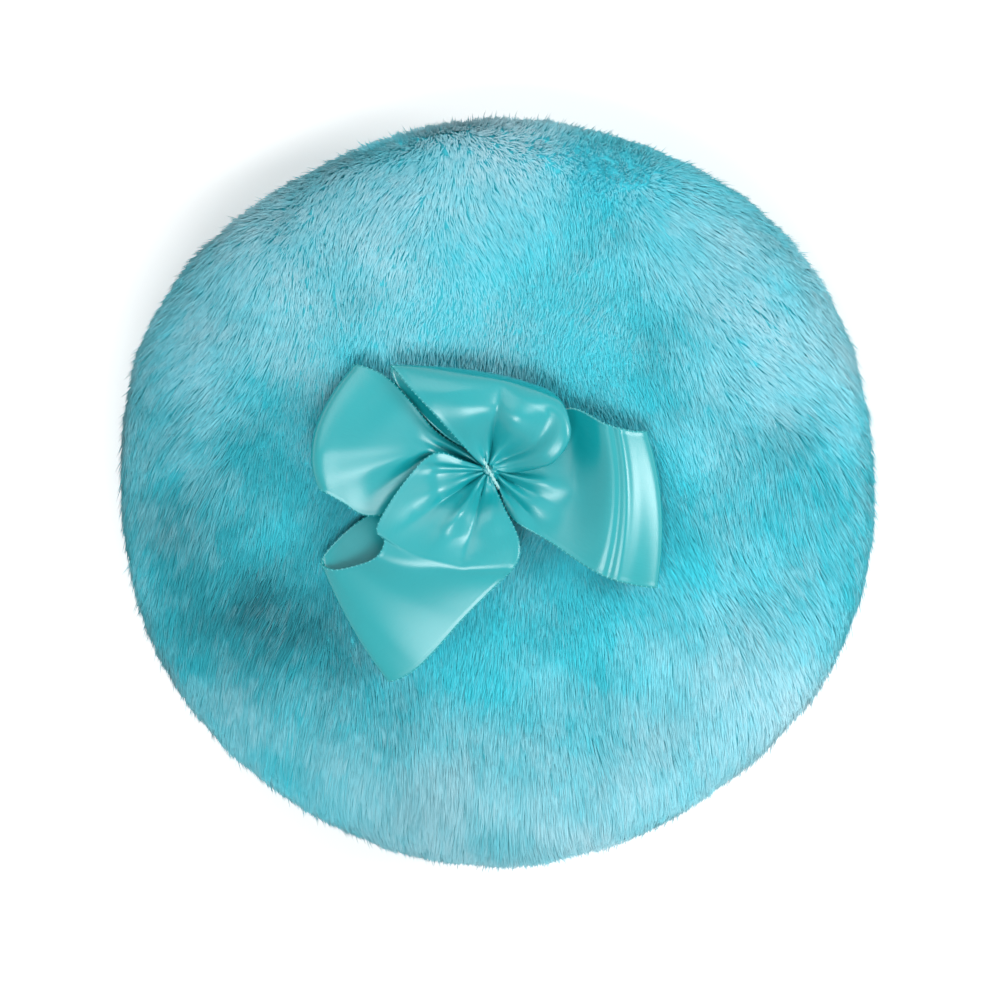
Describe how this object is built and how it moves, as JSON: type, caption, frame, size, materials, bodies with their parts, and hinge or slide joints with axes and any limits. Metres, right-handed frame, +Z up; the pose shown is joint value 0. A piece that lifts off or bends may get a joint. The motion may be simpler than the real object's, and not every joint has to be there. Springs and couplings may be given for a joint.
{
  "type": "powder puff",
  "caption": "Round plush powder puff with a padded core and a looped satin ribbon bow tacked to its top.",
  "frame": {"origin": "centre of the puff's outline, on the surface that its powder side lies on", "axes": "+Z up through the bow, -Y the way the nap lies"},
  "size_m": [0.1302, 0.13, 0.0481],
  "materials": {
    "pile_plush": "long plush pile, turquoise at the root and paler at the tips",
    "knit_backing": "plain polyester knit",
    "wadding": "white polyester wadding",
    "sewing_thread": "two-ply polyester thread",
    "satin_ribbon": "double-faced satin with a looped edge"
  },
  "bodies": {
    "puff": {"lower_pile": "pile_plush", "lower_knit_cover": "knit_backing", "filling_pad": "wadding", "upper_knit_cover": "knit_backing", "upper_pile": "pile_plush", "rim_seam_thread": "sewing_thread", "closing_stitches": "sewing_thread", "tack_thread": "sewing_thread", "tack_knot": "sewing_thread"},
    "bow": {"bow_left_loop": "satin_ribbon", "bow_upper_loop": "satin_ribbon", "bow_right_loop": "satin_ribbon", "bow_lower_loop": "satin_ribbon", "bow_gather": "satin_ribbon", "bow_centre_stitch": "sewing_thread"}
  },
  "joints": [
    {"name": "bow_swivel", "type": "hinge", "parent": "puff", "child": "bow", "pos_m": [-0.0014, 0.00388, 0.034], "axis": [0, 0, 1], "range_deg": [-20, 20], "stiffness_Nm_per_rad": 0.0008}
  ]
}
